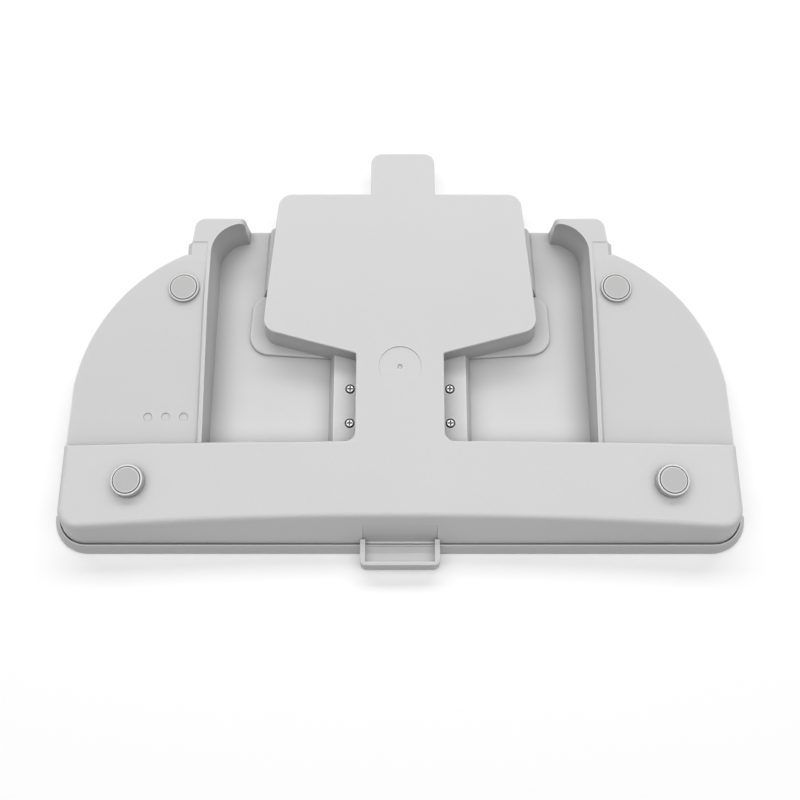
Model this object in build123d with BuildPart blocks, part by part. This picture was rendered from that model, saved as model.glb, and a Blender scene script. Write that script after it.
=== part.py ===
# Dock tray of a robot vacuum, lying underside up: a moulded tray shell with two hollow wings,
# a T-shaped channel cover screwed into its recess, a front lip with a pull handle and four feet.
# Millimetres. X runs across, Y towards the back, Z up. The origin is on the floor, mid-width and mid-depth.
import math
import os

from build123d import *

os.makedirs("parts", exist_ok=True)

# Overall
TRAY_DEPTH = 228.8
LIP_HALF_WIDTH = 176.9
COVER_TOP = 21.0
FOOT_PLANE = 25.5
FLOOR_T = 3.0
WALL_T = 2.5
COVER_T = 2.4
FIT_GAP = 0.3
EDGE_GAP = 0.6
PICK_R = 1.0

# Front lip and pull handle
LIP_T = 3.7
LIP_TOP = 6.5
LIP_SKIRT = 1.2
LIP_LAND = 0.4
LIP_STRAIGHT = 0.7
HANDLE_REACH = 11.9
HANDLE_HALF_W = 20.1
HANDLE_TOP = 9.0
HANDLE_LIFT = 0.8
HANDLE_WALL = 2.6
HANDLE_BAR = 1.9
HANDLE_LEAN = 1.2
HANDLE_CORNER_R = 3.0
HANDLE_PANEL_TOP = 4.3
HANDLE_PANEL_RUN = 4.7
HANDLE_EDGE_R = 0.4

# Front band of the cover: upright up to the crease, then sloping to the top, steepest at the ends
CREASE_Z = 6.0
BAND_DEPTH = 49.7
BAND_BACK_SAG = 2.2
BAND_LEAN_MID = 11.6
BAND_LEAN_END = 4.9
BAND_LEAN_SIDE = 2.9
BAND_CORNER_BASE = 14.0
BAND_CORNER_TOP = 10.0
BAND_EDGE_R = 3.5
FINGER_MARGIN = 1.2
FINGER_H = 10.2
FINGER_DEPTH = 1.0

# Wings: rounded outline, and a surface that climbs to the back and levels off before the posts
WING_STEP_IN = 2.3
WING_TUCK_IN = 4.3
WING_TUCK_DEPTH = 7.8
WING_TAPER = 1.6
WING_STRAIGHT = 32.4
WING_ARC_DROP = 14.1
WING_ARC_SHORT = 7.6
WING_LEVEL_RUN = 11.3
HOLLOW_CORNER_R = 2.0

# Guide walls: they lean outwards, and a thin rib stands proud of the wing, with a sloping foot
GUIDE_X = 100.2
GUIDE_LEAN = 1.2
GUIDE_RIB_W = 1.8
GUIDE_LEAD = 11.8
GUIDE_DROP = 4.1
GUIDE_CLIMB_END = 34.3
RIB_PROUD = 1.6
RIB_FOOT_STEEP = 0.4
RIB_FOOT_W = 1.9
RIB_FOOT_PART = 0.35

# Rear posts with their inward hooks, and a sloping step at their outer side
PLATE_SHORT = 40.0
POST_W = 11.4
POST_DEPTH = 17.1
POST_LEAN_BACK = 3.1
POST_LEAN_SIDE = 1.4
POST_SIDE_DRAFT = 0.8
POST_PROUD = 0.25
POST_BELOW_FEET = 0.5
POST_CORNER_R = 5.5
HOOK_R = 15.8
HOOK_WALL = 4.1
HOOK_TIP_R = 3.5
SIDE_STEP_W = 2.6
SIDE_STEP_DROP = 3.2
WING_END_STEP = 3.2

# Pad, neck and tab of the cover
PAD_LENGTH = 80.1
PAD_SIDE_GAP = 27.7
PAD_SIDE_LEAN = 6.3
PAD_NOSE = 13.5
PAD_LOW_R = 8.0
PAD_HIGH_R = 7.5
PAD_DRAFT_DEG = 5.0
PAD_PLATE_T = 3.0
NECK_HALF_W = 22.9
NECK_FRONT_R = 5.0
NECK_BACK_R = 1.2
TAB_LENGTH = 25.7
TAB_HALF_W = 17.6
TAB_SHIFT = 1.6
TAB_CORNER_R = 6.0
TAB_ROOT_R = 0.8
TOP_EDGE_R = 0.7

# Ledge, seat and plank that carry the cover, placed from the pad's front corner
LEDGE_H = 2.0
LEDGE_OUT = 9.7
LEDGE_FRONT = 7.8
LEDGE_SHOULDER_IN = 1.2
LEDGE_SHOULDER_UP = 20.0
LEDGE_BACK_OUT = 3.6
LEDGE_BACK_UP = 25.6
LEDGE_NOSE_FRONT = 11.8
LEDGE_CORNER_R = 11.0
LEDGE_EDGE_R = 1.2
SEAT_H = 6.0
SEAT_OUT = 2.8
SEAT_TAPER_IN = 1.3
SEAT_UP = 26.0
SEAT_PAST = 1.8
SEAT_CORNER_R = 5.0
SEAT_FLANK_DEG = 20.0
PLANK_STEP = 14.8
PLANK_FLANK_DEG = 19.0
PLANK_TOP = 11.5
PLANK_T = 3.0

# Moulding marks
DIMPLE_SHORT = 7.5
DIMPLE_R = 1.7
DIMPLE_DEPTH = 1.0
DISC_MARK_R = 11.2
MARK_DEPTH = 0.4
MARK_FLANK_DEG = 40.0
WING_MARK_R = 2.35
WING_MARK_DEPTH = 0.5
WING_MARK_PITCH = 9.2
WING_MARK_OUT = 20.2
WING_MARK_UP = 13.4

# Feet
FRONT_FOOT_IN = 37.3
FRONT_FOOT_UP = 28.6
BACK_FOOT_OUT = 14.2
BACK_FOOT_SHORT = 26.7
FRONT_FOOT_R = 6.6
BACK_FOOT_R = 6.75
FOOT_GAP = 0.45
FOOT_RING_W = 0.9
FOOT_RING_EDGE = 0.3
RING_EDGE_DEG = 45.0
FOOT_PROUD = 0.3
FOOT_T = 1.7
FOOT_EDGE = 0.2
BOSS_DRAFT_DEG = 6.0

# Screws: places along the neck are parts of its length
SCREW_OUT = 3.3
SCREW_PLACES = (0.25, 0.645)
SCREW_HEAD_R = 2.15
SCREW_HEAD_H = 1.6
SCREW_HEAD_EDGE = 0.5
SCREW_POCKET_GAP = 0.5
SCREW_POCKET_DEPTH = 1.0
SCREW_PILOT_GAP = 0.15
SCREW_SHANK_R = 1.4
SCREW_SHANK = 7.5
SCREW_SLOT_W = 0.85
SCREW_SLOT_L = 2.9
SCREW_SLOT_DEPTH = 0.9

# Places worked out from the sizes above, across the tray
PLATE_SIDE = LIP_HALF_WIDTH - LIP_T
BAND_SIDE = PLATE_SIDE - EDGE_GAP
WING_SIDE_X = BAND_SIDE - WING_STEP_IN
WING_TUCK_X = WING_SIDE_X - WING_TUCK_IN
POST_SIDE_X = GUIDE_X + POST_W
PAD_LOW_X = GUIDE_X - PAD_SIDE_GAP
PAD_HIGH_X = PAD_LOW_X - PAD_SIDE_LEAN
PLANK_FOOT_HALF_W = NECK_HALF_W + PLANK_STEP
SCREW_X = NECK_HALF_W + SCREW_OUT
LIP_INNER_R = BAND_CORNER_BASE + EDGE_GAP
PLATE_CORNER_R = LIP_INNER_R + 3 * FIT_GAP

# Places worked out from the front to the back
Y_FRONT = -TRAY_DEPTH / 2
Y_BACK = TRAY_DEPTH / 2
PLATE_FRONT = Y_FRONT + HANDLE_REACH
LIP_END_Y = PLATE_FRONT + LIP_INNER_R + LIP_STRAIGHT
BAND_FRONT = PLATE_FRONT + EDGE_GAP
BAND_BACK_MID = BAND_FRONT + BAND_DEPTH
BAND_BACK_END = BAND_BACK_MID - BAND_BACK_SAG
SHOULDER_Y = BAND_BACK_END + EDGE_GAP
WING_FRONT_Y = BAND_BACK_MID - WING_TUCK_DEPTH
GUIDE_FRONT_Y = BAND_BACK_MID - GUIDE_LEAD
RECESS_BACK_Y = Y_BACK - PLATE_SHORT
POST_FRONT_Y = RECESS_BACK_Y - POST_DEPTH
POST_BACK_TOP = RECESS_BACK_Y - POST_LEAN_BACK
HOOK_CENTRE_Y = POST_BACK_TOP - HOOK_WALL - HOOK_R
GUIDE_LEVEL_Y = POST_FRONT_Y - GUIDE_CLIMB_END
WING_LEVEL_Y = POST_FRONT_Y - WING_LEVEL_RUN
PAD_BACK_Y = Y_BACK - TAB_LENGTH
PAD_LOW_Y = PAD_BACK_Y - PAD_LENGTH
PAD_NECK_Y = PAD_LOW_Y - PAD_NOSE
SEAT_FRONT_Y = PAD_LOW_Y + SEAT_UP
SEAT_BACK_Y = RECESS_BACK_Y + SEAT_PAST
DIMPLE_Y = PAD_NECK_Y - DIMPLE_SHORT
FRONT_FOOT = (BAND_SIDE - FRONT_FOOT_IN, BAND_FRONT + FRONT_FOOT_UP)
BACK_FOOT = (GUIDE_X + BACK_FOOT_OUT, POST_FRONT_Y - BACK_FOOT_SHORT)
SCREW_YS = [BAND_BACK_MID + place * (PAD_NECK_Y - BAND_BACK_MID) for place in SCREW_PLACES]

# Heights worked out from the sizes above
SKIRT_BASE = FLOOR_T + FIT_GAP
LEDGE_TOP = FLOOR_T + LEDGE_H
COVER_ROOF = COVER_TOP - COVER_T
GUIDE_TOP_FRONT = COVER_TOP - GUIDE_DROP
GUIDE_TOP_BACK = FOOT_PLANE - POST_BELOW_FEET
FOOT_SEAT_Z = FOOT_PLANE - FOOT_T
FOOT_RING_Z = FOOT_PLANE - FOOT_PROUD
RISE = (GUIDE_TOP_BACK - GUIDE_TOP_FRONT) / (GUIDE_LEVEL_Y - GUIDE_FRONT_Y)
WING_FRONT_Z = GUIDE_TOP_FRONT - RIB_PROUD + RISE * (WING_FRONT_Y - GUIDE_FRONT_Y)
WING_TUCK_Z = WING_FRONT_Z - FIT_GAP
FLANGE_BASE = PLANK_TOP - PLANK_T
SCREW_SEAT_Z = PLANK_TOP - SCREW_POCKET_DEPTH

# The wing's outer arc passes the end of its straight side and the foot of the post
ARC_START = (WING_SIDE_X - WING_TAPER, BAND_BACK_END + WING_STRAIGHT)
ARC_END = (POST_SIDE_X + WING_END_STEP, POST_FRONT_Y - WING_ARC_SHORT)
ARC_CENTRE_Y = ARC_START[1] - WING_ARC_DROP
ARC_SPREAD = ARC_END[0] ** 2 - ARC_START[0] ** 2 + (ARC_END[1] - ARC_CENTRE_Y) ** 2 - WING_ARC_DROP**2
ARC_CENTRE = (ARC_SPREAD / (2 * (ARC_END[0] - ARC_START[0])), ARC_CENTRE_Y)
ARC_R = math.dist(ARC_CENTRE, ARC_END)
ARC_START_DEG = math.degrees(math.atan2(WING_ARC_DROP, ARC_START[0] - ARC_CENTRE[0]))
ARC_END_DEG = math.degrees(math.atan2(ARC_END[1] - ARC_CENTRE[1], ARC_END[0] - ARC_CENTRE[0]))


def band_sketch(level, inset=0.0, back_y=None):
    """Outline of the front band at a level, drawn in by an inset; a back edge given is a straight one."""
    rise = (level - CREASE_Z) / (COVER_TOP - CREASE_Z)
    side = BAND_SIDE - BAND_LEAN_SIDE * rise - inset
    front_mid = BAND_FRONT + BAND_LEAN_MID * rise + inset
    front_end = BAND_FRONT + BAND_LEAN_END * rise + inset
    corner = BAND_CORNER_BASE + (BAND_CORNER_TOP - BAND_CORNER_BASE) * rise - inset
    back_mid = back_y or BAND_BACK_MID - inset
    back_end = back_y or BAND_BACK_END - inset
    with BuildSketch() as outline:
        with BuildLine():
            if back_y:
                Line((side, back_end), (-side, back_end))
            else:
                ThreePointArc((side, back_end), (0, back_mid), (-side, back_end))
            Line((-side, back_end), (-side, front_end))
            if front_mid > front_end:
                ThreePointArc((-side, front_end), (0, front_mid), (side, front_end))
            else:
                Line((-side, front_end), (side, front_end))
            Line((side, front_end), (side, back_end))
        make_face()
        fillet(outline.vertices().sort_by(Axis.Y)[0:2], radius=corner)
    return outline.sketch


def band_body(high, inset=0.0, back_y=None):
    """Block of the front band up to a level: an upright skirt and the lofted slope above it."""
    with BuildPart() as body:
        with BuildSketch(Plane.XY.offset(SKIRT_BASE)):
            add(band_sketch(CREASE_Z, inset, back_y))
        extrude(amount=CREASE_Z - SKIRT_BASE)
        with BuildSketch(Plane.XY.offset(CREASE_Z)):
            add(band_sketch(CREASE_Z, inset, back_y))
        with BuildSketch(Plane.XY.offset(high)):
            add(band_sketch(high, inset, back_y))
        loft()
    return body.part


def climb_line(part, back_y, drop=0.0):
    """Side view of the wing's surface (part 0), the rib's top (part 1) or a line between, less a drop."""
    low = RIB_PROUD * (1 - part) + drop
    post_z = GUIDE_TOP_BACK - POST_PROUD * (1 - part) - drop
    return [
        (GUIDE_FRONT_Y, GUIDE_TOP_FRONT - low),
        (GUIDE_LEVEL_Y, GUIDE_TOP_BACK - low),
        (WING_LEVEL_Y, post_z),
        (back_y, post_z),
    ]


def air_over(drop=0.0):
    """All the space above the wings' surface, lowered by a drop, right across the tray."""
    line = climb_line(0, PAD_BACK_Y, drop)
    ceiling = COVER_TOP + FOOT_PLANE
    with BuildPart() as air:
        with BuildSketch(Plane.YZ.offset(-LIP_HALF_WIDTH)):
            with BuildLine():
                Polyline(*line, (PAD_BACK_Y, ceiling), (GUIDE_FRONT_Y, ceiling), close=True)
            make_face()
        extrude(amount=2 * LIP_HALF_WIDTH)
    return air.part


def wing_sketch(inset=0.0, inner_x=GUIDE_X, back_y=POST_FRONT_Y):
    """Outline of the right wing, drawn in by an inset from its outer edge."""
    radius = ARC_R - inset
    start, end = math.radians(ARC_START_DEG), math.radians(ARC_END_DEG)
    arc_start = (ARC_CENTRE[0] + radius * math.cos(start), ARC_CENTRE[1] + radius * math.sin(start))
    arc_end = (ARC_CENTRE[0] + radius * math.cos(end), ARC_CENTRE[1] + radius * math.sin(end))
    front_y = WING_FRONT_Y + inset
    shoulder_y = SHOULDER_Y + inset
    with BuildSketch() as outline:
        with BuildLine():
            CenterArc(ARC_CENTRE, radius, ARC_START_DEG, ARC_END_DEG - ARC_START_DEG)
            Polyline(
                arc_end,
                (POST_SIDE_X - inset, arc_end[1]),
                (POST_SIDE_X - inset, back_y),
                (inner_x, back_y),
                (inner_x, front_y),
                (WING_TUCK_X - inset, front_y),
                (WING_TUCK_X - inset, shoulder_y),
                (WING_SIDE_X - inset, shoulder_y),
                arc_start,
            )
        make_face()
    return outline.sketch


def post_sketch(back_y, guide_lean, side_draft):
    """Outline of the right rear post with its hook, for a back edge, a guide wall's lean and a side's draft."""
    hook_x = GUIDE_X - HOOK_R
    inner_r = HOOK_R + guide_lean
    rib_x = hook_x + inner_r + GUIDE_RIB_W
    side_x = POST_SIDE_X + side_draft
    with BuildSketch() as outline:
        with BuildLine():
            CenterArc((hook_x, HOOK_CENTRE_Y), inner_r, 0, 90)
            Polyline(
                (hook_x, HOOK_CENTRE_Y + inner_r),
                (hook_x, back_y),
                (side_x - POST_LEAN_SIDE, back_y),
                (side_x, POST_FRONT_Y),
                (rib_x, POST_FRONT_Y),
                (rib_x, HOOK_CENTRE_Y),
                (hook_x + inner_r, HOOK_CENTRE_Y),
            )
        make_face()
        fillet(outline.vertices().sort_by(Axis.Y)[-2:].sort_by(Axis.X)[-1], radius=POST_CORNER_R)
    return outline.sketch


def pad_sketch(inset=0.0, back_y=PAD_BACK_Y):
    """Outline of the pad up to a back edge, drawn in by an inset; its front runs on into the neck."""
    front_slope = (PAD_LOW_Y - PAD_NECK_Y) / (PAD_LOW_X - NECK_HALF_W)
    root = (NECK_HALF_W / 2, PAD_NECK_Y + inset - front_slope * NECK_HALF_W / 2)
    low = (PAD_LOW_X - inset, PAD_LOW_Y + inset)
    high = (PAD_HIGH_X - inset, back_y - inset)
    with BuildSketch() as outline:
        with BuildLine():
            Polyline((0, high[1]), high, low, root, (0, root[1]), close=True)
        make_face()
        fillet(outline.vertices().sort_by(Axis.X)[-1], radius=PAD_LOW_R)
        fillet(outline.vertices().sort_by(Axis.Y)[-2:].sort_by(Axis.X)[-1], radius=PAD_HIGH_R)
        mirror(about=Plane.YZ)
    return outline.sketch


def plank_body(low, high, front_y, back_y):
    """Bar along the neck with sloping flanks, between two levels."""
    slope = math.tan(math.radians(PLANK_FLANK_DEG))
    wide = PLANK_FOOT_HALF_W - slope * (low - FLOOR_T)
    narrow = PLANK_FOOT_HALF_W - slope * (high - FLOOR_T)
    with BuildPart() as bar:
        with BuildSketch(Plane.XZ.offset(-front_y)):
            with BuildLine():
                Polyline((-wide, low), (wide, low), (narrow, high), (-narrow, high), close=True)
            make_face()
        extrude(amount=front_y - back_y)
    return bar.part


def uprights_at(solid, x, y):
    """Upright edges near a place on the plan, on both sides of the middle."""
    return solid.edges().filter_by(
        lambda e: math.dist((abs(e.center().X), e.center().Y), (x, y)) < PICK_R
        and e.center().Z < COVER_TOP - FIT_GAP
    )


# Hollow inside a wing and its post, open to the floor
with BuildPart() as wing_hollow:
    with BuildSketch() as hollow_floor:
        add(wing_sketch(WALL_T, GUIDE_X + GUIDE_LEAN + WALL_T, POST_BACK_TOP - WALL_T))
        corners = hollow_floor.vertices().filter_by(lambda v: v.X < WING_TUCK_X - WALL_T - FIT_GAP)
        fillet(corners, radius=HOLLOW_CORNER_R)
    extrude(amount=FOOT_PLANE)
    add(air_over(WALL_T), mode=Mode.SUBTRACT)

# Right half of the shell's raised side: wing, guide rib, rear post with its hook, and side step
with BuildPart() as raised_side:
    with BuildSketch():
        add(wing_sketch())
    extrude(amount=FOOT_PLANE)
    add(air_over(), mode=Mode.SUBTRACT)
    # Rib, then its foot, which falls steeply and then gently to the wing's surface
    foot_start = GUIDE_LEAN + GUIDE_RIB_W
    foot_lines = (
        (0.0, 1.0),
        (foot_start, 1.0),
        (foot_start + RIB_FOOT_STEEP, RIB_FOOT_PART),
        (foot_start + RIB_FOOT_W, -FIT_GAP),
    )
    for offset_x, part in foot_lines:
        with BuildSketch(Plane.YZ.offset(GUIDE_X + offset_x)):
            with BuildLine():
                Polyline(
                    *climb_line(part, POST_FRONT_Y),
                    (POST_FRONT_Y, FLOOR_T),
                    (GUIDE_FRONT_Y, FLOOR_T),
                    close=True,
                )
            make_face()
    loft(ruled=True)
    with BuildSketch(Plane.XY.offset(FLOOR_T)):
        add(post_sketch(RECESS_BACK_Y, 0, POST_SIDE_DRAFT))
    with BuildSketch(Plane.XY.offset(GUIDE_TOP_BACK)):
        add(post_sketch(POST_BACK_TOP, GUIDE_LEAN, 0))
    loft()
    with BuildSketch():
        add(post_sketch(RECESS_BACK_Y, 0, POST_SIDE_DRAFT))
    extrude(amount=FLOOR_T)
    # The guide wall leans outwards as the hook does, and the hook's tip is rounded
    with BuildSketch(Plane.XZ.offset(-GUIDE_FRONT_Y)):
        with BuildLine():
            Polyline(
                (GUIDE_X - FIT_GAP, FLOOR_T),
                (GUIDE_X, FLOOR_T),
                (GUIDE_X + GUIDE_LEAN, GUIDE_TOP_BACK),
                (GUIDE_X - FIT_GAP, GUIDE_TOP_BACK),
                close=True,
            )
        make_face()
    extrude(amount=GUIDE_FRONT_Y - HOOK_CENTRE_Y, mode=Mode.SUBTRACT)
    hook_end = raised_side.edges().filter_by(Axis.Y).group_by(Axis.Z)[-1].sort_by(Axis.X)[0]
    fillet(hook_end, radius=HOOK_TIP_R)
    # Step outside the post, sloping outwards
    with BuildSketch(Plane.XZ.offset(-ARC_END[1])):
        with BuildLine():
            Polyline(
                (POST_SIDE_X - WALL_T, 0),
                (POST_SIDE_X + SIDE_STEP_W, 0),
                (POST_SIDE_X + SIDE_STEP_W, GUIDE_TOP_BACK - SIDE_STEP_DROP),
                (POST_SIDE_X - FIT_GAP, GUIDE_TOP_BACK - POST_PROUD),
                (POST_SIDE_X - WALL_T, GUIDE_TOP_BACK - POST_PROUD),
                close=True,
            )
        make_face()
    extrude(amount=ARC_END[1] - POST_FRONT_Y)

# Tray shell
with BuildPart() as tray_shell:
    add(raised_side.part)
    mirror(about=Plane.YZ)
    with BuildSketch(Plane.XY.offset(WING_TUCK_Z)):
        add(band_sketch(CREASE_Z, -FIT_GAP))
    extrude(amount=FOOT_PLANE, mode=Mode.SUBTRACT)
    # Floor under the band and the recess
    with BuildSketch() as front_floor:
        with Locations((0, PLATE_FRONT)):
            Rectangle(2 * PLATE_SIDE, SHOULDER_Y - PLATE_FRONT, align=(Align.CENTER, Align.MIN))
        fillet(front_floor.vertices().group_by(Axis.Y)[0], radius=PLATE_CORNER_R)
    extrude(amount=FLOOR_T)
    with BuildSketch():
        with Locations((0, PLATE_FRONT + PLATE_CORNER_R)):
            Rectangle(
                2 * GUIDE_X + GUIDE_RIB_W,
                RECESS_BACK_Y - PLATE_FRONT - PLATE_CORNER_R,
                align=(Align.CENTER, Align.MIN),
            )
    extrude(amount=FLOOR_T)
    add(wing_hollow.part, mode=Mode.SUBTRACT)
    add(mirror(wing_hollow.part, about=Plane.YZ), mode=Mode.SUBTRACT)
    # Ledge with a rounded edge
    with BuildSketch(Plane.XY.offset(FLOOR_T)) as ledge_outline:
        with BuildLine():
            Polyline(
                (0, PAD_LOW_Y + LEDGE_BACK_UP),
                (PAD_LOW_X + LEDGE_BACK_OUT, PAD_LOW_Y + LEDGE_BACK_UP),
                (PAD_LOW_X + LEDGE_OUT - LEDGE_SHOULDER_IN, PAD_LOW_Y + LEDGE_SHOULDER_UP),
                (PAD_LOW_X + LEDGE_OUT, PAD_LOW_Y - LEDGE_FRONT),
                (NECK_HALF_W, PAD_LOW_Y - LEDGE_NOSE_FRONT),
                (0, PAD_LOW_Y - LEDGE_NOSE_FRONT),
                close=True,
            )
        make_face()
        fillet(ledge_outline.vertices().sort_by(Axis.X)[-1], radius=LEDGE_CORNER_R)
        mirror(about=Plane.YZ)
    extrude(amount=LEDGE_H)
    ledge_rim = tray_shell.faces().filter_by(Axis.Z).filter_by(
        lambda f: abs(f.center().Z - LEDGE_TOP) < FIT_GAP and f.area > LEDGE_CORNER_R**2
    )
    fillet(ledge_rim.edges(), radius=LEDGE_EDGE_R)
    # Seat with sloping flanks, and the plank along the neck
    with BuildSketch() as seat_outline:
        with BuildLine():
            Polyline(
                (0, SEAT_FRONT_Y),
                (PAD_LOW_X + SEAT_OUT, SEAT_FRONT_Y),
                (PAD_LOW_X + SEAT_OUT - SEAT_TAPER_IN, SEAT_BACK_Y),
                (0, SEAT_BACK_Y),
                close=True,
            )
        make_face()
        fillet(seat_outline.vertices().sort_by(Axis.Y)[-2:].sort_by(Axis.X)[-1], radius=SEAT_CORNER_R)
        mirror(about=Plane.YZ)
    extrude(amount=FLOOR_T)
    with BuildSketch(Plane.XY.offset(FLOOR_T)):
        add(seat_outline.sketch)
    extrude(amount=SEAT_H, taper=SEAT_FLANK_DEG)
    add(plank_body(FLOOR_T, FLANGE_BASE - FIT_GAP, BAND_BACK_MID + FIT_GAP, PAD_LOW_Y))
    with Locations(*[(x, y, FLANGE_BASE - FIT_GAP) for x in (-SCREW_X, SCREW_X) for y in SCREW_YS]):
        Hole(radius=SCREW_SHANK_R + SCREW_PILOT_GAP, depth=FLANGE_BASE - FIT_GAP - FLOOR_T)
    # Seats of the back feet
    for x in (-BACK_FOOT[0], BACK_FOOT[0]):
        with BuildSketch(Plane((x, BACK_FOOT[1], FOOT_SEAT_Z - COVER_T))):
            Circle(BACK_FOOT_R + FOOT_GAP + FOOT_RING_W)
        extrude(amount=FOOT_RING_Z - FOOT_RING_EDGE - FOOT_SEAT_Z + COVER_T)
        with BuildSketch(Plane((x, BACK_FOOT[1], FOOT_RING_Z - FOOT_RING_EDGE))):
            Circle(BACK_FOOT_R + FOOT_GAP + FOOT_RING_W)
        extrude(amount=FOOT_RING_EDGE, taper=RING_EDGE_DEG)
        with BuildSketch(Plane((x, BACK_FOOT[1], FOOT_SEAT_Z))):
            Circle(BACK_FOOT_R + FOOT_GAP)
        extrude(amount=FOOT_T, mode=Mode.SUBTRACT)
    # Three shallow round marks on the left wing, square to its slope
    mark_y = BAND_BACK_MID + WING_MARK_UP
    mark_z = GUIDE_TOP_FRONT - RIB_PROUD + RISE * (mark_y - GUIDE_FRONT_Y)
    for step in (-1, 0, 1):
        mark_x = step * WING_MARK_PITCH - GUIDE_X - WING_MARK_OUT
        with BuildSketch(Plane((mark_x, mark_y, mark_z), x_dir=(1, 0, 0), z_dir=(0, -RISE, 1))):
            Circle(WING_MARK_R)
        extrude(amount=-WING_MARK_DEPTH, taper=MARK_FLANK_DEG, mode=Mode.SUBTRACT)

# Hollow inside the cover: the band's cavity, the channel through the neck and the pad's cavity
with BuildPart() as cover_hollow:
    add(band_body(COVER_ROOF, WALL_T))
    with BuildSketch(Plane.XY.offset(FLANGE_BASE)):
        with Locations((0, BAND_BACK_MID - 2 * WALL_T)):
            Rectangle(
                2 * (NECK_HALF_W - WALL_T),
                PAD_LOW_Y - BAND_BACK_MID + 2 * WALL_T,
                align=(Align.CENTER, Align.MIN),
            )
    extrude(amount=COVER_ROOF - FLANGE_BASE)
    with BuildSketch(Plane.XY.offset(FLOOR_T)):
        add(pad_sketch(WALL_T, SEAT_BACK_Y))
    extrude(amount=COVER_ROOF - FLOOR_T)

# Outer form of the cover's front and sides, which runs on past the back
with BuildPart() as cover_form:
    add(band_body(COVER_TOP, back_y=Y_BACK + WALL_T))
    form_rim = cover_form.edges().group_by(Axis.Z)[-1].sort_by(Axis.Y)
    fillet(form_rim[:-1], radius=BAND_EDGE_R)

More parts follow.
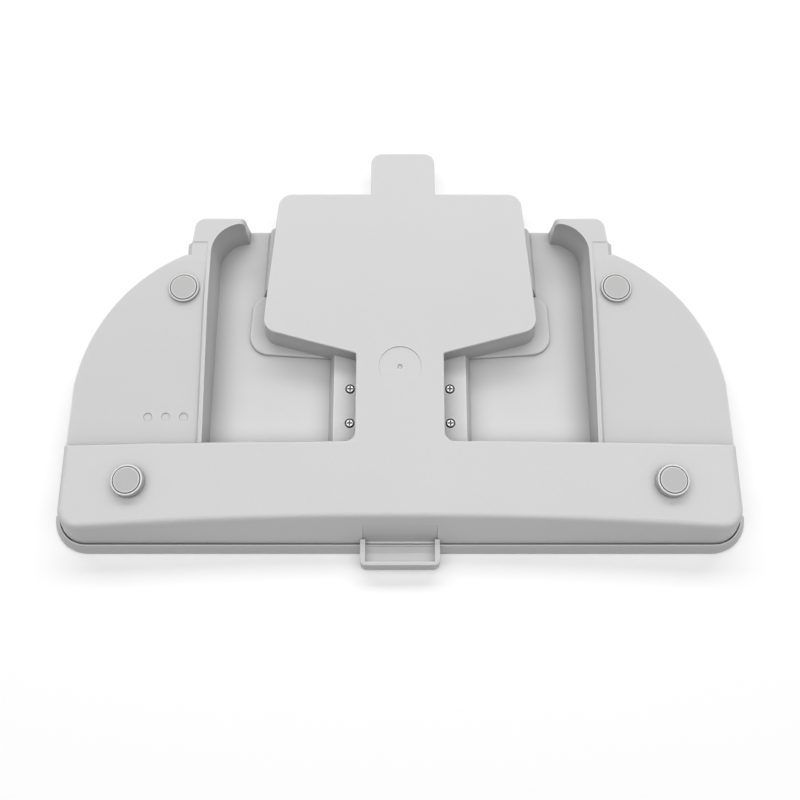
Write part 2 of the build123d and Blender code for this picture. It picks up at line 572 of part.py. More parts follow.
# Channel cover: band, neck, pad and tab in one moulding
with BuildPart() as channel_cover:
    # The band starts as a plain block with its bowed back, and gets its outer form at the end
    with BuildSketch(Plane.XY.offset(SKIRT_BASE)):
        with BuildLine():
            ThreePointArc((PLATE_SIDE, BAND_BACK_END), (0, BAND_BACK_MID), (-PLATE_SIDE, BAND_BACK_END))
            Polyline(
                (-PLATE_SIDE, BAND_BACK_END),
                (-PLATE_SIDE, Y_FRONT),
                (PLATE_SIDE, Y_FRONT),
                (PLATE_SIDE, BAND_BACK_END),
            )
        make_face()
    extrude(amount=COVER_TOP - SKIRT_BASE)
    with BuildSketch(Plane.XY.offset(FLANGE_BASE)):
        with Locations((0, BAND_BACK_END - WALL_T)):
            Rectangle(
                2 * NECK_HALF_W, PAD_LOW_Y - BAND_BACK_END + WALL_T, align=(Align.CENTER, Align.MIN)
            )
    extrude(amount=COVER_TOP - FLANGE_BASE)
    with BuildSketch(Plane.XY.offset(COVER_TOP)):
        add(pad_sketch())
    extrude(amount=LEDGE_TOP + FIT_GAP - COVER_TOP, taper=-PAD_DRAFT_DEG)
    # Undercuts: behind the seat, over the seat and over the plank
    with BuildSketch(Plane.XY.offset(FLOOR_T)):
        with Locations((0, SEAT_BACK_Y)):
            Rectangle(2 * GUIDE_X, Y_BACK - SEAT_BACK_Y, align=(Align.CENTER, Align.MIN))
    extrude(amount=COVER_TOP - PAD_PLATE_T - FLOOR_T, mode=Mode.SUBTRACT)
    with BuildSketch(Plane.XY.offset(FLOOR_T)):
        with Locations((0, SEAT_FRONT_Y - FIT_GAP)):
            Rectangle(2 * GUIDE_X, Y_BACK - SEAT_FRONT_Y, align=(Align.CENTER, Align.MIN))
    extrude(amount=SEAT_H + FIT_GAP, mode=Mode.SUBTRACT)
    add(plank_body(FLOOR_T, FLANGE_BASE, BAND_BACK_END, PAD_LOW_Y + FIT_GAP), mode=Mode.SUBTRACT)
    add(plank_body(FLANGE_BASE, PLANK_TOP, BAND_BACK_END, PAD_LOW_Y))
    # Tab at the back
    with BuildSketch(Plane.XY.offset(COVER_TOP)) as tab_outline:
        with Locations((TAB_SHIFT, PAD_BACK_Y - PAD_HIGH_R)):
            Rectangle(2 * TAB_HALF_W, TAB_LENGTH + PAD_HIGH_R, align=(Align.CENTER, Align.MIN))
        fillet(tab_outline.vertices().group_by(Axis.Y)[-1], radius=TAB_CORNER_R)
    extrude(amount=-PAD_PLATE_T)
    # Corners of the neck and the tab, then the thin rounding of the upper edges
    fillet(uprights_at(channel_cover, NECK_HALF_W, BAND_BACK_MID), radius=NECK_FRONT_R)
    fillet(uprights_at(channel_cover, NECK_HALF_W, PAD_NECK_Y), radius=NECK_BACK_R)
    for root_x in (TAB_HALF_W + TAB_SHIFT, TAB_HALF_W - TAB_SHIFT):
        fillet(uprights_at(channel_cover, root_x, PAD_BACK_Y), radius=TAB_ROOT_R)
    upper_rim = channel_cover.edges().group_by(Axis.Z)[-1].filter_by(lambda e: e.center().Y > BAND_BACK_END)
    fillet(upper_rim, radius=TOP_EDGE_R)
    add(cover_form.part, mode=Mode.INTERSECT)
    add(cover_hollow.part, mode=Mode.SUBTRACT)
    # Room for the front of the wings under the band
    with BuildSketch(Plane.XY.offset(FLOOR_T)):
        with Locations(*[(x * (GUIDE_X + WING_TUCK_X) / 2, WING_FRONT_Y - FIT_GAP) for x in (-1, 1)]):
            Rectangle(
                WING_TUCK_X - GUIDE_X + 2 * FIT_GAP,
                WING_TUCK_DEPTH + FIT_GAP,
                align=(Align.CENTER, Align.MIN),
            )
    extrude(amount=WING_TUCK_Z + FIT_GAP - FLOOR_T, mode=Mode.SUBTRACT)
    # Finger recess in the sloping front
    finger_y = BAND_FRONT + BAND_LEAN_MID * FINGER_H / (COVER_TOP - CREASE_Z)
    with BuildSketch(Plane.YZ):
        with BuildLine():
            Polyline(
                (BAND_FRONT - FINGER_DEPTH, CREASE_Z),
                (BAND_FRONT + FINGER_DEPTH, CREASE_Z),
                (finger_y, CREASE_Z + FINGER_H),
                (finger_y - FINGER_DEPTH, CREASE_Z + FINGER_H),
                close=True,
            )
        make_face()
    extrude(amount=HANDLE_HALF_W - FINGER_MARGIN, both=True, mode=Mode.SUBTRACT)
    # Bosses of the front feet
    boss_rise = FOOT_RING_Z - FOOT_RING_EDGE - COVER_TOP
    ring_r = FRONT_FOOT_R + FOOT_GAP + FOOT_RING_W
    for x in (-FRONT_FOOT[0], FRONT_FOOT[0]):
        with BuildSketch(Plane((x, FRONT_FOOT[1], COVER_TOP))):
            Circle(ring_r + boss_rise * math.tan(math.radians(BOSS_DRAFT_DEG)))
        extrude(amount=boss_rise, taper=BOSS_DRAFT_DEG)
        with BuildSketch(Plane((x, FRONT_FOOT[1], FOOT_RING_Z - FOOT_RING_EDGE))):
            Circle(ring_r)
        extrude(amount=FOOT_RING_EDGE, taper=RING_EDGE_DEG)
        with BuildSketch(Plane((x, FRONT_FOOT[1], FOOT_SEAT_Z))):
            Circle(FRONT_FOOT_R + FOOT_GAP)
        extrude(amount=FOOT_T, mode=Mode.SUBTRACT)
    # Screw holes with pockets for the heads
    with Locations(*[(x, y, PLANK_TOP) for x in (-SCREW_X, SCREW_X) for y in SCREW_YS]):
        CounterBoreHole(
            radius=SCREW_SHANK_R + FIT_GAP,
            counter_bore_radius=SCREW_HEAD_R + SCREW_POCKET_GAP,
            counter_bore_depth=SCREW_POCKET_DEPTH,
            depth=PLANK_T,
        )
    # Gate mark in a shallow tilted disc
    disc_tilt = (0, MARK_DEPTH, 2 * DISC_MARK_R)
    with BuildSketch(Plane((0, DIMPLE_Y, COVER_TOP - MARK_DEPTH / 2), x_dir=(1, 0, 0), z_dir=disc_tilt)):
        Circle(DISC_MARK_R)
    extrude(amount=MARK_DEPTH * 2, mode=Mode.SUBTRACT)
    with BuildSketch(Plane((0, DIMPLE_Y, COVER_TOP))):
        Circle(DIMPLE_R)
    extrude(amount=-DIMPLE_DEPTH, taper=MARK_FLANK_DEG, mode=Mode.SUBTRACT)

# Front lip with its pull handle
with BuildPart() as front_lip:
    # Handle: a drafted block with a pocket, whose floor climbs to the lip
    handle_run = BAND_FRONT + BAND_LEAN_MID - Y_FRONT
    with BuildSketch(Plane.XY.offset(HANDLE_LIFT)) as handle_foot:
        with Locations((0, Y_FRONT)):
            Rectangle(2 * HANDLE_HALF_W, handle_run, align=(Align.CENTER, Align.MIN))
        fillet(handle_foot.vertices().group_by(Axis.Y)[0], radius=HANDLE_CORNER_R)
    with BuildSketch(Plane.XY.offset(HANDLE_TOP)) as handle_head:
        with Locations((0, Y_FRONT + HANDLE_LEAN)):
            Rectangle(2 * HANDLE_HALF_W, handle_run - HANDLE_LEAN, align=(Align.CENTER, Align.MIN))
        fillet(handle_head.vertices().group_by(Axis.Y)[0], radius=HANDLE_CORNER_R)
    loft()
    fillet(front_lip.edges().group_by(Axis.Z)[-1].sort_by(Axis.Y)[:-1], radius=HANDLE_EDGE_R)
    pocket_y = Y_FRONT + HANDLE_LEAN + HANDLE_BAR
    with BuildSketch(Plane.YZ):
        with BuildLine():
            Polyline(
                (pocket_y, HANDLE_PANEL_TOP),
                (pocket_y + HANDLE_PANEL_RUN, HANDLE_PANEL_TOP),
                (PLATE_FRONT, CREASE_Z),
                (Y_BACK, CREASE_Z),
                (Y_BACK, 2 * HANDLE_TOP),
                (pocket_y, 2 * HANDLE_TOP),
                close=True,
            )
        make_face()
    extrude(amount=HANDLE_HALF_W - HANDLE_WALL, both=True, mode=Mode.SUBTRACT)
    # Clear of the plate and of the band's slope
    with BuildSketch():
        with Locations((0, PLATE_FRONT)):
            Rectangle(2 * LIP_HALF_WIDTH, TRAY_DEPTH, align=(Align.CENTER, Align.MIN))
    extrude(amount=CREASE_Z, mode=Mode.SUBTRACT)
    add(band_body(COVER_TOP, -EDGE_GAP), mode=Mode.SUBTRACT)
    # Lip round the front of the plate
    with BuildLine() as lip_path:
        FilletPolyline(
            (PLATE_SIDE, LIP_END_Y),
            (PLATE_SIDE, PLATE_FRONT),
            (-PLATE_SIDE, PLATE_FRONT),
            (-PLATE_SIDE, LIP_END_Y),
            radius=LIP_INNER_R,
        )
    with BuildSketch(Plane((PLATE_SIDE, LIP_END_Y, 0), x_dir=(1, 0, 0), z_dir=(0, -1, 0))):
        with BuildLine():
            Polyline((0, 0), (LIP_T, 0), (LIP_T, LIP_SKIRT), (LIP_LAND, LIP_TOP), (0, LIP_TOP), close=True)
        make_face()
    sweep(path=lip_path.wires()[0])

# Feet
with BuildPart() as front_foot:
    with BuildSketch(Plane.XY.offset(FOOT_SEAT_Z)):
        Circle(FRONT_FOOT_R)
    extrude(amount=FOOT_T)
    chamfer(front_foot.edges().group_by(Axis.Z)[-1], length=FOOT_EDGE)

with BuildPart() as back_foot:
    with BuildSketch(Plane.XY.offset(FOOT_SEAT_Z)):
        Circle(BACK_FOOT_R)
    extrude(amount=FOOT_T)
    chamfer(back_foot.edges().group_by(Axis.Z)[-1], length=FOOT_EDGE)

# Pan-head screw with a cross slot
with BuildPart() as screw:
    with BuildSketch(Plane.XY.offset(SCREW_SEAT_Z)):
        Circle(SCREW_HEAD_R)
    extrude(amount=SCREW_HEAD_H)
    chamfer(screw.edges().group_by(Axis.Z)[-1], length=SCREW_HEAD_EDGE)
    with BuildSketch(Plane.XY.offset(SCREW_SEAT_Z)):
        Circle(SCREW_SHANK_R)
    extrude(amount=-SCREW_SHANK)
    with BuildSketch(Plane.XY.offset(SCREW_SEAT_Z + SCREW_HEAD_H)):
        Rectangle(SCREW_SLOT_L, SCREW_SLOT_W)
        Rectangle(SCREW_SLOT_W, SCREW_SLOT_L)
    extrude(amount=-SCREW_SLOT_DEPTH, mode=Mode.SUBTRACT)

tray_shell.part.label = "tray_shell"
export_step(tray_shell.part, "parts/tray_shell.step")
channel_cover.part.label = "channel_cover"
export_step(channel_cover.part, "parts/channel_cover.step")
front_lip.part.label = "front_lip"
export_step(front_lip.part, "parts/front_lip.step")

for side, x in (("left", -1), ("right", 1)):
    for row, foot, spot in (("front", front_foot, FRONT_FOOT), ("back", back_foot, BACK_FOOT)):
        placed = Location((x * spot[0], spot[1], 0)) * foot.part
        placed.label = f"foot_{row}_{side}"
        export_step(placed, f"parts/foot_{row}_{side}.step")
    for row, y in zip(("front", "back"), SCREW_YS):
        placed = Location((x * SCREW_X, y, 0)) * screw.part
        placed.label = f"screw_{row}_{side}"
        export_step(placed, f"parts/screw_{row}_{side}.step")
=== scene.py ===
import math
from collections import Counter

import bpy
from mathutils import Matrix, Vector


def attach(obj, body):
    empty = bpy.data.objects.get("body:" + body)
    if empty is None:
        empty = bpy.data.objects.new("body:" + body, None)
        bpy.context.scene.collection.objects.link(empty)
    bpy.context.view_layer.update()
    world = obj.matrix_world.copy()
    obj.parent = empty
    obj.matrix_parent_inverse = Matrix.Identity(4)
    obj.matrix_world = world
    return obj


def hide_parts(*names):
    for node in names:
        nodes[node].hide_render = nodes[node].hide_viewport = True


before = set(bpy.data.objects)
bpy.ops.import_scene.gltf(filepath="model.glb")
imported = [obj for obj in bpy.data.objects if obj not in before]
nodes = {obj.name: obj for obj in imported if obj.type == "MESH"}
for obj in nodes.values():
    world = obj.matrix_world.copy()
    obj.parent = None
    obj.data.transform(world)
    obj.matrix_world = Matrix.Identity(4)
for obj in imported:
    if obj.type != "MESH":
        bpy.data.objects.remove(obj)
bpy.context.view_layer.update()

# Camera, in metres and as solved from the photograph
CAMERA_AT = (0.0, -0.1694, 0.461)
CAMERA_TILT = math.radians(17.5)
LENS_MM = 40.5
SENSOR_MM = 36.0

# Light: each lamp's name, place, width and depth, and power, and the strength of the soft fill
LAMPS = (
    ("overhead", (0.0, -0.1, 1.3), (3.2, 1.2), 22.3),
    ("back", (0.0, 1.5, 1.35), (3.0, 0.5), 27.3),
)
FILL = 0.02

# Floor: it lies a little below the part, and shows plain white from FADE_TO on
FLOOR_SIZE = 6.0
FLOOR_DROP = 0.0002
FLOOR_LEVEL = 0.9
FLOOR_LIFT = 0.115
FADE_FROM = 0.25
FADE_TO = 0.6

# Grey levels of the materials
SHELL_LEVEL = 0.59
COVER_LEVEL = 0.61
LIP_LEVEL = 0.55
FOOT_LEVEL = 0.5
SCREW_LEVEL = 0.5

# Reach of the painted shade in the corners and of the painted highlight along the outer edges, and the
# tone that they get where no more than CLOSED_IN of the surroundings is open
PAINTED_SHADE_REACH = 0.014
PAINTED_SHADE_TONE = 0.52
LIP_PAINTED_SHADE_TONE = 0.95
PAINTED_HIGHLIGHT_REACH = 0.0009
PAINTED_HIGHLIGHT_TONE = 1.3
COVER_PAINTED_HIGHLIGHT_TONE = 1.5
# painted highlight on the feet's raised ring
FOOT_RING_PAINTED_HIGHLIGHT_TONE = 2.0
CLOSED_IN = 0.25
NEAR_SAMPLES = 4

# Moulded plastic, from its cloudy tone down to its grain
CLOUD_SCALE = 9.0
CLOUD_TONES = (0.985, 1.012)
SPECK_SCALE = 2400.0
SPECK_TONES = (0.975, 1.02)
NOISE_SPAN = (0.3, 0.7)
SHEEN_SCALE = 60.0
ROUGHNESS_SPREAD = 0.05
GRAIN_SCALE = 1500.0
GRAIN_STRENGTH = 0.12
GRAIN_DEPTH = 0.0001
EDGE_RADIUS = 0.00045
EDGE_SAMPLES = 6
PLASTIC_ROUGHNESS = 0.46
PLASTIC_GLOSS = 0.4
RUBBER_ROUGHNESS = 0.72
RUBBER_GLOSS = 0.25
RUBBER_WARMTH = 0.002
RUBBER_GRAIN = 2.0

# Plated steel: cloudy on the head's face, with painted shade that makes the cross and all below the face
# dark
STEEL_SCALE = 900.0
STEEL_TONES = (0.8, 1.15)
STEEL_ROUGHNESS = (0.25, 0.42)
PAINTED_RECESS_SHADE_TONE = 0.12
SCREW_FACE_Z = 0.01205

# Hooks and guide walls, as in the model
HOOK_CENTRE = (0.0844, 0.0514)
HOOK_R = 0.0158
GUIDE_LEAN = 0.0012
WALL_FOOT_Z = 0.003
POST_TOP_Z = 0.025
POST_FRONT_Y = 0.0573
ARC_PARTS = 6

# Points nearer than TOUCH are one, and so are places and levels that round to the same
TOUCH = 0.00001
LEVEL_DIGITS = 6

# Least part of a normal along the axis that a level or a square face points to, and most across it
LEVEL_FACE = 0.999
SQUARE_FACE = 0.9999
SIDEWAYS = 0.001

# Right and left, as signs of X
SIDES = (1, -1)


def node_input(node, name, value):
    node.inputs[name].default_value = value


def grey(level, warm=0.0):
    return (level + warm, level, level - warm, 1.0)


def noise(tree, place, scale, detail):
    """Value of a noise texture at a place."""
    texture = tree.nodes.new("ShaderNodeTexNoise")
    node_input(texture, "Scale", scale)
    node_input(texture, "Detail", detail)
    tree.links.new(place, texture.inputs["Vector"])
    return texture.outputs["Fac"]


def mapped(tree, value, start, end, low=0.0, high=1.0):
    """From start to end as the value goes from low to high, and no further."""
    span = tree.nodes.new("ShaderNodeMapRange")
    for name, number in (("From Min", low), ("From Max", high), ("To Min", start), ("To Max", end)):
        node_input(span, name, number)
    tree.links.new(value, span.inputs["Value"])
    return span.outputs["Result"]


def tinted(tree, value, colours, span=(0.0, 1.0)):
    """From the first colour to the second as the value crosses the span."""
    ramp = tree.nodes.new("ShaderNodeValToRGB")
    for stop, colour, position in zip(ramp.color_ramp.elements, colours, span):
        stop.position = position
        stop.color = colour
    tree.links.new(value, ramp.inputs["Fac"])
    return ramp.outputs["Color"]


def combined(tree, operation, first, second, clamp=False):
    """Result of a Math node. The second value is a number or another node's output."""
    maths = tree.nodes.new("ShaderNodeMath")
    maths.operation = operation
    maths.use_clamp = clamp
    tree.links.new(first, maths.inputs[0])
    if isinstance(second, float):
        maths.inputs[1].default_value = second
    else:
        tree.links.new(second, maths.inputs[1])
    return maths.outputs["Value"]


def painted_light_factor(tree, reach, tone, inside):
    """Factor that paints light and shade into the colour: one in the open, and tone in a corner as painted
    shade, or at an outer edge if inside, as a painted highlight where the tone is above one.
    """
    near = tree.nodes.new("ShaderNodeAmbientOcclusion")
    near.samples = NEAR_SAMPLES
    near.inside = inside
    node_input(near, "Distance", reach)
    return mapped(tree, near.outputs["AO"], tone, 1.0, low=CLOSED_IN)


def started_material(name):
    """New material, its nodes, its shader and the place on the piece."""
    mat = bpy.data.materials.new(name)
    mat.use_nodes = True
    tree = mat.node_tree
    place = tree.nodes.new("ShaderNodeTexCoord").outputs["Object"]
    return mat, tree, tree.nodes["Principled BSDF"], place


def plastic_colour(tree, place, level, warm, painted_shade_tone, painted_highlight_tone):
    """Faint clouds and specks, with painted shade in the corners and a painted highlight along the outer
    edges.
    """
    tones = [grey(level * tone, warm) for tone in CLOUD_TONES]
    clouds = tinted(tree, noise(tree, place, CLOUD_SCALE, detail=3.0), tones, NOISE_SPAN)
    specks = mapped(tree, noise(tree, place, SPECK_SCALE, detail=2.0), *SPECK_TONES, *NOISE_SPAN)
    # painted shade: the colour is darker where other surfaces are near, in corners and recesses
    corners = painted_light_factor(tree, PAINTED_SHADE_REACH, painted_shade_tone, inside=False)
    # painted highlight: the colour is paler along the outer edges, where light would catch them
    edges = painted_light_factor(tree, PAINTED_HIGHLIGHT_REACH, painted_highlight_tone, inside=True)
    shade = combined(tree, "MULTIPLY", specks, combined(tree, "MULTIPLY", corners, edges))
    colour = tree.nodes.new("ShaderNodeVectorMath")
    colour.operation = "SCALE"
    tree.links.new(clouds, colour.inputs["Vector"])
    tree.links.new(shade, colour.inputs["Scale"])
    return colour.outputs["Vector"]


def spark_eroded(tree, place, grain):
    """Normal of a surface with softened edges and a fine grain."""
    edges = tree.nodes.new("ShaderNodeBevel")
    edges.samples = EDGE_SAMPLES
    node_input(edges, "Radius", EDGE_RADIUS)
    grains = tree.nodes.new("ShaderNodeTexVoronoi")
    node_input(grains, "Scale", GRAIN_SCALE)
    tree.links.new(place, grains.inputs["Vector"])
    bump = tree.nodes.new("ShaderNodeBump")
    node_input(bump, "Strength", GRAIN_STRENGTH * grain)
    node_input(bump, "Distance", GRAIN_DEPTH)
    tree.links.new(edges.outputs["Normal"], bump.inputs["Normal"])
    tree.links.new(grains.outputs["Distance"], bump.inputs["Height"])
    return bump.outputs["Normal"]


def moulded_plastic(name, level, roughness=PLASTIC_ROUGHNESS, warm=0.0, grain=1.0,
                    painted_shade_tone=PAINTED_SHADE_TONE, painted_highlight_tone=PAINTED_HIGHLIGHT_TONE):
    """Light grey moulded plastic: faint cloudy tone, a fine spark-eroded grain and a soft sheen."""
    mat, tree, bsdf, place = started_material(name)
    colour = plastic_colour(tree, place, level, warm, painted_shade_tone, painted_highlight_tone)
    tree.links.new(colour, bsdf.inputs["Base Color"])
    sheen = noise(tree, place, SHEEN_SCALE, detail=4.0)
    rough = mapped(tree, sheen, roughness - ROUGHNESS_SPREAD, roughness + ROUGHNESS_SPREAD)
    tree.links.new(rough, bsdf.inputs["Roughness"])
    tree.links.new(spark_eroded(tree, place, grain), bsdf.inputs["Normal"])
    node_input(bsdf, "Specular IOR Level", PLASTIC_GLOSS)
    return mat


def rubber(name, level):
    """Soft grey rubber: matt, with fine speckle, painted shade in the corners and a painted highlight on
    the raised ring.
    """
    mat = moulded_plastic(name, level, roughness=RUBBER_ROUGHNESS, warm=RUBBER_WARMTH,
                          grain=RUBBER_GRAIN, painted_highlight_tone=FOOT_RING_PAINTED_HIGHLIGHT_TONE)
    node_input(mat.node_tree.nodes["Principled BSDF"], "Specular IOR Level", RUBBER_GLOSS)
    return mat


def steel(name, level):
    """Plated screw steel, cloudy on the head's face, with painted shade in its recess."""
    mat, tree, bsdf, place = started_material(name)
    clouds = noise(tree, place, STEEL_SCALE, detail=3.0)
    face = tinted(tree, clouds, [grey(level * tone) for tone in STEEL_TONES])
    height = tree.nodes.new("ShaderNodeSeparateXYZ")
    tree.links.new(place, height.inputs["Vector"])
    # painted shade: all of the screw below the head's face, the cross and the chamfer, is made dark
    on_face = combined(tree, "GREATER_THAN", height.outputs["Z"], SCREW_FACE_Z)
    plating_and_painted_shade = tree.nodes.new("ShaderNodeMix")
    plating_and_painted_shade.data_type = "RGBA"
    painted_shade_colour, face_colour = [socket for socket in plating_and_painted_shade.inputs if socket.type == "RGBA"]
    mixed_colour = next(socket for socket in plating_and_painted_shade.outputs if socket.type == "RGBA")
    painted_shade_colour.default_value = grey(level * PAINTED_RECESS_SHADE_TONE)
    tree.links.new(on_face, plating_and_painted_shade.inputs["Factor"])
    tree.links.new(face, face_colour)
    tree.links.new(mixed_colour, bsdf.inputs["Base Color"])
    tree.links.new(mapped(tree, clouds, *STEEL_ROUGHNESS), bsdf.inputs["Roughness"])
    node_input(bsdf, "Metallic", 1.0)
    return mat


def paint(node, mat):
    """Put a material into every slot of a node."""
    piece = nodes[node]
    if not piece.material_slots:
        piece.data.materials.append(mat)
    for slot in piece.material_slots:
        slot.link = "OBJECT"
        slot.material = mat


def hook_point(side, part, z):
    """Point on a hook's round wall at a height, from the guide wall (0) round to the post's front (1)."""
    radius = HOOK_R + GUIDE_LEAN * (z - WALL_FOOT_Z) / (POST_TOP_Z - WALL_FOOT_Z)
    reach = min(math.sqrt(max(radius**2 - HOOK_R**2, 0)), POST_FRONT_Y - HOOK_CENTRE[1])
    angle = part * math.asin(reach / radius)
    return Vector((
        side * (HOOK_CENTRE[0] + radius * math.cos(angle)),
        HOOK_CENTRE[1] + radius * math.sin(angle),
        z,
    ))


def round_wall_normal(side, place):
    """Where a hook's round wall faces at a place: the hook's centre line, and slightly up."""
    facing = Vector((side * HOOK_CENTRE[0], HOOK_CENTRE[1], 0)) - place
    facing.z = 0
    facing.normalize()
    facing.z = GUIDE_LEAN / (POST_TOP_Z - WALL_FOOT_Z)
    return facing.normalized()


class Surface:
    """Points, faces and corner normals of a mesh that is put together face by face."""

    def __init__(self, places):
        self.places = places
        self.faces = []
        self.normals = []

    def add_point(self, place):
        self.places.append(place)
        return len(self.places) - 1

    def add_face(self, corners, normals):
        self.faces.append(tuple(corners))
        self.normals.extend(normals)

    def add_triangle(self, corners, normals):
        """Triangle with its front on the side that its first normal points to."""
        a, b, c = (self.places[i] for i in corners)
        if (b - a).cross(c - a).dot(normals[0]) < 0:
            corners, normals = corners[::-1], normals[::-1]
        self.add_face(corners, normals)

    def add_fan(self, corner, row, normal):
        """Flat triangles from a corner to each stretch of a row of points."""
        for a, b in zip(row, row[1:]):
            self.add_triangle((corner, a, b), [normal] * 3)

    def is_closed(self):
        """Whether a face lies on each side of every edge."""
        edges = Counter()
        for face in self.faces:
            corners = [tuple(round(value, LEVEL_DIGITS) for value in self.places[i]) for i in face]
            edges.update(frozenset(ends) for ends in zip(corners, corners[1:] + corners[:1]))
        return all(count % 2 == 0 for ends, count in edges.items() if len(ends) == 2)

    def mesh(self, name):
        mesh = bpy.data.meshes.new(name)
        mesh.from_pydata([tuple(place) for place in self.places], [], self.faces)
        mesh.polygons.foreach_set("use_smooth", [True] * len(self.faces))
        mesh.normals_split_custom_set([tuple(normal) for normal in self.normals])
        return mesh


class HookGap:
    """Gap that a hook's small step leaves when its faces are taken out of the shell."""

    def __init__(self, side):
        self.side = side
        self.rim = []
        self.top_corner = None
        self.wall_corner = None
        self.wall_normal = None
        self.wall_ends = [hook_point(side, 0, z) for z in (WALL_FOOT_Z, POST_TOP_Z)]

    def takes(self, face, corners):
        """Whether this face is taken out. What bounds the gap is noted from the faces that are."""
        others = [c for c in corners if min((c - end).length for end in self.wall_ends) > TOUCH]
        if len(others) == 1 and abs(face.normal.y) < SIDEWAYS:
            self.wall_corner = others[0]
            self.wall_normal = face.normal.copy()
            return True
        foot_x = HOOK_CENTRE[0] + HOOK_R
        across = [self.side * c.x for c in corners]
        depths = [c.y for c in corners]
        if not (HOOK_CENTRE[1] - TOUCH < min(depths) and max(depths) < POST_FRONT_Y + TOUCH
                and foot_x - TOUCH < min(across) < foot_x + TOUCH):
            return False
        if face.normal.z > LEVEL_FACE and corners[0].z > POST_TOP_Z - TOUCH:
            far = max(corners, key=lambda c: self.side * c.x)
            if self.top_corner is None or self.side * far.x > self.side * self.top_corner.x:
                self.top_corner = far
            return True
        square = max(abs(face.normal.x), abs(face.normal.y)) > SQUARE_FACE
        if square and max(across) < foot_x + GUIDE_LEAN + TOUCH:
            self.rim += corners
            return True
        return False

    def is_bounded(self):
        """Whether the rim and both corners beside it were found."""
        return bool(self.rim) and self.top_corner is not None and self.wall_corner is not None

    def add_row(self, surface, z, count=ARC_PARTS + 1):
        """Row of new points round the hook at a height, put onto the gap's rim where they meet it."""
        row = []
        for k in range(count):
            point = hook_point(self.side, k / ARC_PARTS, z)
            closest = min(self.rim, key=lambda c: (c - point).length)
            row.append(surface.add_point(closest if (closest - point).length < TOUCH else point))
        return row

    def close(self, surface):
        """The round wall up to the guide wall, the post's top and the guide wall's end, without a step."""
        levels = sorted({round(c.z, LEVEL_DIGITS) for c in self.rim})
        rows = [self.add_row(surface, levels[0], 1)] + [self.add_row(surface, z) for z in levels[1:]]
        for low, high in zip(rows, rows[1:]):
            for k in range(ARC_PARTS):
                if len(low) == 1:
                    triangles = [(low[0], high[k], high[k + 1])]
                else:
                    triangles = [(low[k], low[k + 1], high[k + 1]), (low[k], high[k + 1], high[k])]
                for corners in triangles:
                    normals = [round_wall_normal(self.side, surface.places[i]) for i in corners]
                    surface.add_triangle(corners, normals)
        top = surface.add_point(self.top_corner)
        surface.add_fan(top, self.add_row(surface, POST_TOP_Z), Vector((0, 0, 1)))
        wall = surface.add_point(self.wall_corner)
        wall_end = [self.add_row(surface, z, 1)[0] for z in levels]
        surface.add_fan(wall, wall_end, self.wall_normal)


def even_shell_surface():
    """The shell without the small step where each hook's round wall meets its guide wall.

    None if the shell's mesh has no such step or the copy would not be closed.
    """
    source = nodes["tray_shell"].data
    surface = Surface([vertex.co.copy() for vertex in source.vertices])
    gaps = {side: HookGap(side) for side in SIDES}
    for face in source.polygons:
        gap = gaps[1 if face.center.x > 0 else -1]
        if not gap.takes(face, [surface.places[i] for i in face.vertices]):
            surface.add_face(face.vertices, [source.corner_normals[i].vector for i in face.loop_indices])
    if not all(gap.is_bounded() for gap in gaps.values()):
        return None
    for side in SIDES:
        gaps[side].close(surface)
    return surface if surface.is_closed() else None


def show_even_hooks(mat):
    """Show the copy of the shell with even hooks, and the shell itself where there is none."""
    surface = even_shell_surface()
    if surface is None:
        return
    piece = bpy.data.objects.new("tray_shell_even", surface.mesh("tray_shell_even"))
    piece.data.materials.append(mat)
    bpy.context.collection.objects.link(piece)
    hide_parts("tray_shell")
    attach(piece, "root")


def background_rays(tree):
    """One for the rays that show the background: camera, glossy and transmission rays."""
    path = tree.nodes.new("ShaderNodeLightPath")
    seen = combined(tree, "ADD", path.outputs["Is Camera Ray"], path.outputs["Is Glossy Ray"])
    return combined(tree, "ADD", seen, path.outputs["Is Transmission Ray"], clamp=True)


def white_floor(name):
    """White floor material that keeps the shadow near the part and shows plain white away from it."""
    mat = bpy.data.materials.new(name)
    mat.use_nodes = True
    tree = mat.node_tree
    tree.nodes.remove(tree.nodes["Principled BSDF"])
    shown = background_rays(tree)
    matt = tree.nodes.new("ShaderNodeBsdfDiffuse")
    node_input(matt, "Color", grey(FLOOR_LEVEL))
    glow = tree.nodes.new("ShaderNodeEmission")
    tree.links.new(combined(tree, "MULTIPLY", shown, FLOOR_LIFT), glow.inputs["Strength"])
    lifted = tree.nodes.new("ShaderNodeAddShader")
    tree.links.new(matt.outputs["BSDF"], lifted.inputs[0])
    tree.links.new(glow.outputs["Emission"], lifted.inputs[1])
    away = tree.nodes.new("ShaderNodeVectorMath")
    away.operation = "LENGTH"
    tree.links.new(tree.nodes.new("ShaderNodeTexCoord").outputs["Object"], away.inputs[0])
    fade = mapped(tree, away.outputs["Value"], 0.0, 1.0, low=FADE_FROM, high=FADE_TO)
    backdrop = tree.nodes.new("ShaderNodeMixShader")
    tree.links.new(combined(tree, "MULTIPLY", fade, shown), backdrop.inputs["Fac"])
    tree.links.new(lifted.outputs["Shader"], backdrop.inputs[1])
    tree.links.new(tree.nodes.new("ShaderNodeEmission").outputs["Emission"], backdrop.inputs[2])
    tree.links.new(backdrop.outputs["Shader"], tree.nodes["Material Output"].inputs["Surface"])
    return mat


def add_floor():
    bpy.ops.mesh.primitive_plane_add(size=FLOOR_SIZE, location=(0, 0, -FLOOR_DROP))
    floor = bpy.context.object
    floor.name = "floor"
    floor.data.materials.append(white_floor("floor_white"))


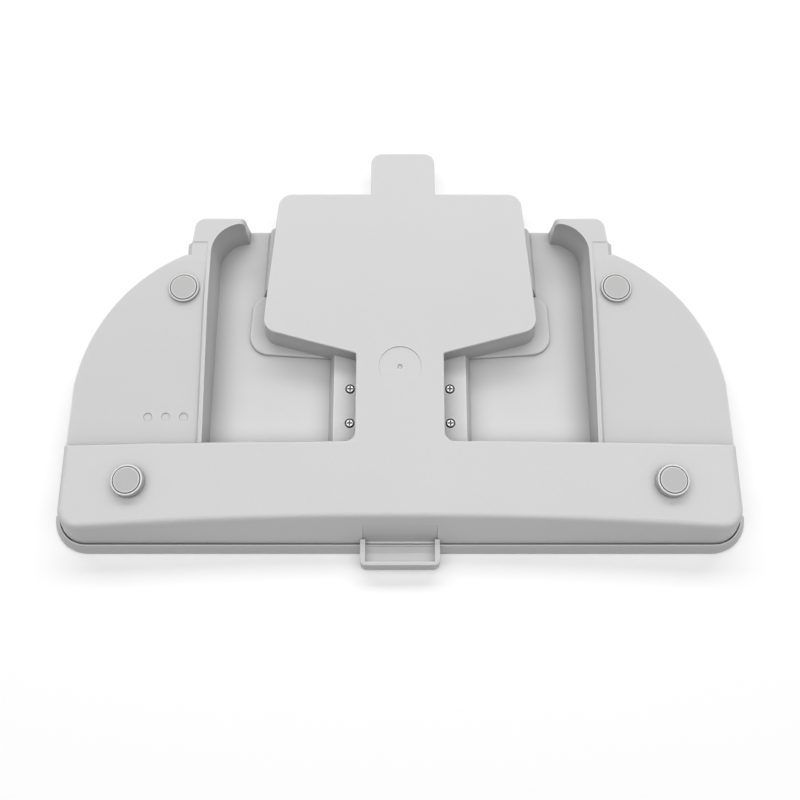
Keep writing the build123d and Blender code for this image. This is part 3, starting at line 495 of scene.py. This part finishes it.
def add_world():
    """Soft fill for the object, and white where the background shows."""
    world = bpy.data.worlds.new("studio")
    bpy.context.scene.world = world
    world.use_nodes = True
    tree = world.node_tree
    fill = tree.nodes["Background"]
    node_input(fill, "Color", grey(1.0))
    node_input(fill, "Strength", FILL)
    white = tree.nodes.new("ShaderNodeBackground")
    node_input(white, "Color", grey(1.0))
    node_input(white, "Strength", 1.0)
    mix = tree.nodes.new("ShaderNodeMixShader")
    tree.links.new(background_rays(tree), mix.inputs["Fac"])
    tree.links.new(fill.outputs["Background"], mix.inputs[1])
    tree.links.new(white.outputs["Background"], mix.inputs[2])
    tree.links.new(mix.outputs["Shader"], tree.nodes["World Output"].inputs["Surface"])


def add_softbox(name, place, size, power):
    """A soft lamp of a width and a depth that faces the part."""
    data = bpy.data.lights.new(name, "AREA")
    data.shape = "RECTANGLE"
    data.size, data.size_y = size
    data.energy = power
    lamp = bpy.data.objects.new(name, data)
    bpy.context.collection.objects.link(lamp)
    lamp.location = place
    x, y, z = place
    lamp.rotation_euler = (math.atan2(math.hypot(x, y), z), 0, math.atan2(-y, -x) - math.pi / 2)


def add_camera():
    data = bpy.data.cameras.new("camera")
    data.lens = LENS_MM
    data.sensor_width = SENSOR_MM
    camera = bpy.data.objects.new("camera", data)
    bpy.context.collection.objects.link(camera)
    camera.location = CAMERA_AT
    camera.rotation_euler = (CAMERA_TILT, 0, 0)
    bpy.context.scene.camera = camera


shell_plastic = moulded_plastic("shell_plastic", SHELL_LEVEL)
paint("tray_shell", shell_plastic)
show_even_hooks(shell_plastic)
paint("channel_cover", moulded_plastic("cover_plastic", COVER_LEVEL, painted_highlight_tone=COVER_PAINTED_HIGHLIGHT_TONE))
paint("front_lip", moulded_plastic("lip_plastic", LIP_LEVEL, painted_shade_tone=LIP_PAINTED_SHADE_TONE))
foot_rubber = rubber("foot_rubber", FOOT_LEVEL)
screw_steel = steel("screw_steel", SCREW_LEVEL)
for side in ("left", "right"):
    for row in ("front", "back"):
        paint(f"foot_{row}_{side}", foot_rubber)
        paint(f"screw_{row}_{side}", screw_steel)

add_floor()
add_world()
for name, place, size, power in LAMPS:
    add_softbox(name, place, size, power)
add_camera()
bpy.context.scene.view_settings.view_transform = "Standard"
